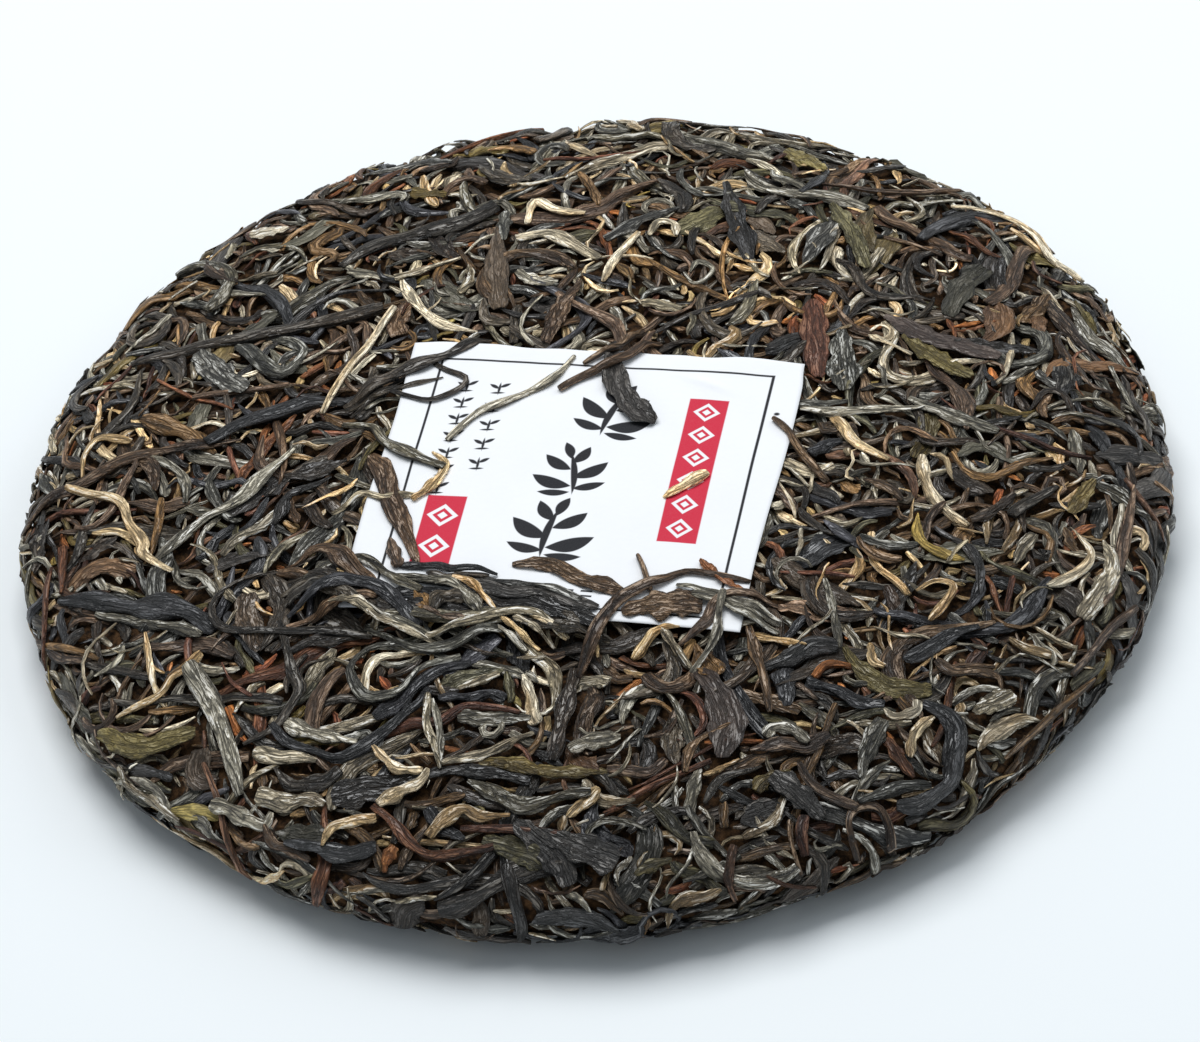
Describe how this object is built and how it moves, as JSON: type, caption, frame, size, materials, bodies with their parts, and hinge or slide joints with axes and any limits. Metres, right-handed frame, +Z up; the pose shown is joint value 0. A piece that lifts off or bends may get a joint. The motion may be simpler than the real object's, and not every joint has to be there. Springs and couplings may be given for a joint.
{
  "type": "pressed tea cake",
  "caption": "Round pressed pu-erh tea cake with a domed top, round rim, flat foot with a knot hollow, and a paper ticket under loose strips.",
  "frame": {"origin": "centre of the cake's outline at the level of its flat foot", "axes": "+Z up through the cake's thickness, +X and +Y along the ticket's edges"},
  "size_m": [0.1998, 0.2004, 0.0272],
  "materials": {
    "pressed_tea": "dry, pressed leaf, slightly waxy",
    "ticket_paper": "thin smooth printed paper",
    "loose_tea": "dry rolled leaf and stem, slightly waxy"
  },
  "bodies": {
    "root": {"cake": "pressed_tea", "paper_ticket": "ticket_paper", "long_dark_strip": "loose_tea", "silver_strip": "loose_tea", "wrinkled_strip": "loose_tea", "top_stem": "loose_tea", "branch_twig": "loose_tea", "fork_twig": "loose_tea", "right_stem": "loose_tea", "large_flat_leaf": "loose_tea", "brown_leaf_strip": "loose_tea", "brown_leaf_piece": "loose_tea"}
  },
  "joints": []
}
